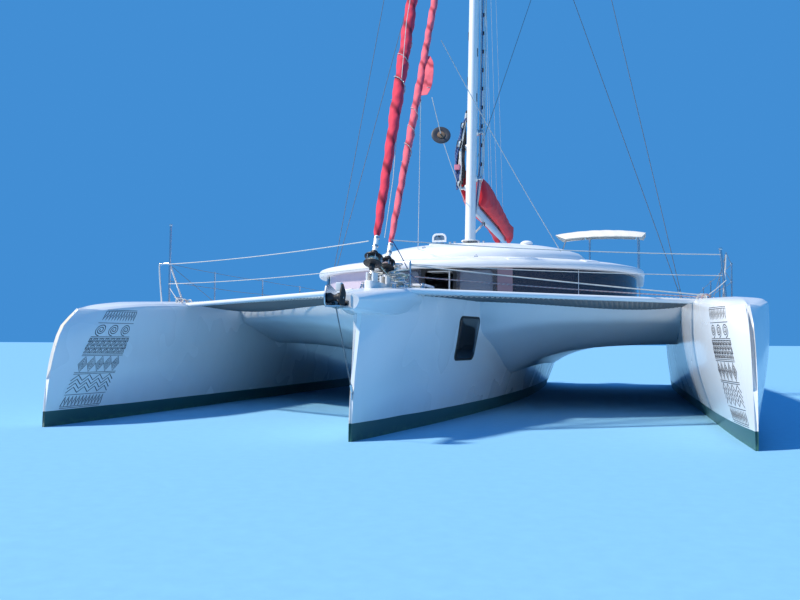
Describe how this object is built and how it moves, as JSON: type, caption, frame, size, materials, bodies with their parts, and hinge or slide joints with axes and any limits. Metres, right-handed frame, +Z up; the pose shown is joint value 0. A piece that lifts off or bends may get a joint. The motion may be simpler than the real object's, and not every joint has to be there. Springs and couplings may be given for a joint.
{
  "type": "cruising sailing trimaran",
  "caption": "Cruising trimaran yacht with a glazed deckhouse, nets forward, furled headsails and a stowed mainsail on a swinging boom; rudder, propeller, door and hatches move.",
  "frame": {"origin": "on the waterline, on the centreline, half of the hull length aft of the centre hull's stem", "axes": "+Z up from the waterline, +Y towards the stern, +X to port"},
  "size_m": [8.44, 13.783, 20.5],
  "materials": {
    "gelcoat": "polished white gelcoat",
    "antifouling": "matt dark teal antifouling paint",
    "smoked_glass": "dark smoked acrylic",
    "milky_glass": "grey sun-screened acrylic",
    "spar": "satin white-silver spar",
    "stainless": "polished stainless steel",
    "wire": "stranded stainless wire",
    "bronze": "dull bronze",
    "red_canvas": "crimson acrylic canvas",
    "bimini_canvas": "off-white canvas",
    "net": "dark knotted trampoline net",
    "rope": "braided polyester rope",
    "upholstery": "stitched marine vinyl",
    "teak": "oiled teak",
    "black_plastic": "black moulded fittings",
    "engine_paint": "green engine enamel"
  },
  "bodies": {
    "boat": {"centre_hull": "gelcoat", "keel": "antifouling", "float_port": "gelcoat", "float_starboard": "gelcoat", "bridge_deck": "gelcoat", "cockpit_moulding": "gelcoat", "engine": "engine_paint", "cabin_wall": "gelcoat", "pane_quarter_starboard": "smoked_glass", "pane_front_starboard": "smoked_glass", "pane_centre_starboard": "milky_glass", "pane_centre_port": "milky_glass", "pane_front_port": "smoked_glass", "pane_quarter_port": "smoked_glass", "pane_side_port": "smoked_glass", "pane_side_starboard": "smoked_glass", "cabin_bulkhead": "gelcoat", "pane_aft": "smoked_glass", "coachroof": "gelcoat", "roof_crown": "gelcoat", "cockpit_hardtop": "gelcoat", "hardtop_frame": "stainless", "mast": "spar", "cap_shroud_port": "wire", "cap_shroud_starboard": "wire", "lower_shroud_port": "wire", "lower_shroud_starboard": "wire", "spreaders": "spar", "stay_fittings": "stainless", "net_port": "net", "net_starboard": "net", "anchor_roller": "stainless", "windlass": "stainless", "guard_rail_port": "stainless", "guard_rail_starboard": "stainless", "cockpit_bench": "gelcoat", "cockpit_cushion": "upholstery", "cockpit_table": "teak", "saloon_settee": "upholstery", "saloon_table": "teak", "helm_console": "gelcoat", "helm_seat": "upholstery", "bimini_top": "bimini_canvas", "bimini_frame": "stainless", "sail_drive": "spar"},
    "boom_and_sail": {"boom": "spar", "sail_bag": "red_canvas"},
    "outer_furler": {"furler_outer": "black_plastic", "furled_sail_outer": "red_canvas"},
    "inner_furler": {"furler_inner": "black_plastic", "furled_sail_inner": "red_canvas"},
    "rudder_blade": {"rudder": "antifouling"},
    "wheel": {"steering_wheel": "stainless"},
    "screw": {"propeller": "bronze"},
    "door": {"saloon_door": "smoked_glass"},
    "hatch": {"roof_hatch": "gelcoat"},
    "lid": {"locker_lid": "gelcoat"},
    "ladder": {"swim_ladder": "stainless"}
  },
  "joints": [
    {"name": "boom_swing", "type": "hinge", "parent": "boat", "child": "boom_and_sail", "pos_m": [0, -0.11, 3.28], "axis": [0, 0, 1], "range_deg": [-47, 41]},
    {"name": "outer_furl", "type": "hinge", "parent": "boat", "child": "outer_furler", "pos_m": [0, -6.01, 1.7], "axis": [0, 0.4303, 0.9027], "continuous": true},
    {"name": "inner_furl", "type": "hinge", "parent": "boat", "child": "inner_furler", "pos_m": [0, -5.5, 1.7], "axis": [0, 0.5195, 0.8545], "continuous": true},
    {"name": "rudder_turn", "type": "hinge", "parent": "boat", "child": "rudder_blade", "pos_m": [0, 5.45, -0.3], "axis": [0, 0, 1], "range_deg": [-35, 35]},
    {"name": "wheel_turn", "type": "hinge", "parent": "boat", "child": "wheel", "pos_m": [2.1, 3.72, 1.83], "axis": [0, -1, 0], "range_deg": [-351, 351]},
    {"name": "screw_turn", "type": "hinge", "parent": "boat", "child": "screw", "pos_m": [0, 3.2, -0.74], "axis": [0, 1, 0], "continuous": true},
    {"name": "door_slide", "type": "slide", "parent": "boat", "child": "door", "axis": [-1, 0, 0], "range_m": [0, 0.9]},
    {"name": "hatch_tilt", "type": "hinge", "parent": "boat", "child": "hatch", "pos_m": [-0.5, -0.488, 2.604], "axis": [1, 0, 0], "range_deg": [0, 90]},
    {"name": "lid_tilt", "type": "hinge", "parent": "boat", "child": "lid", "pos_m": [0, -4.845, 1.626], "axis": [1, 0, 0], "range_deg": [0, 95]},
    {"name": "ladder_fold", "type": "hinge", "parent": "boat", "child": "ladder", "pos_m": [0, 6.59, 0.36], "axis": [-1, 0, 0], "range_deg": [0, 178]}
  ],
  "couplings": [
    {"joint": "wheel_turn", "follows": "rudder_turn", "ratio": 10}
  ]
}
